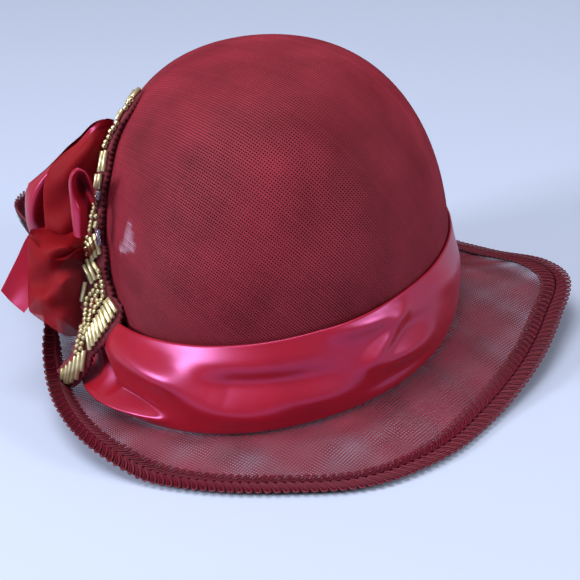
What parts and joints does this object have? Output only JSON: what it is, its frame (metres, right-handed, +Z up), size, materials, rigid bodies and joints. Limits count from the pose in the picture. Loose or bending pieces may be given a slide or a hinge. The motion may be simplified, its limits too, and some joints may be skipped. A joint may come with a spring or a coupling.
{
  "type": "wide-brim hat",
  "caption": "Dress hat with an open-weave dome crown, see-through saddle brim with a braid edge, satin band, ribbon bow and beaded strip",
  "frame": {"origin": "on the table, under the middle of the hat's outline", "axes": "+Z up, +X to the plain side, -X to the trimmed side, -Y to the back of the hat"},
  "size_m": [0.3082, 0.3458, 0.1735],
  "materials": {
    "sinamay": "stiffened open weave",
    "satin": "satin ribbon",
    "organza": "sheer ribbon",
    "gimp": "corded braid",
    "beads": "gold-lined glass"
  },
  "bodies": {
    "root": {"crown": "sinamay", "brim": "sinamay", "satin_band": "satin", "gimp_braid": "gimp", "satin_loop": "satin", "satin_curl": "satin", "organza_upper": "organza", "organza_lower": "organza", "satin_tail": "satin", "bead_applique": "beads"}
  },
  "joints": []
}
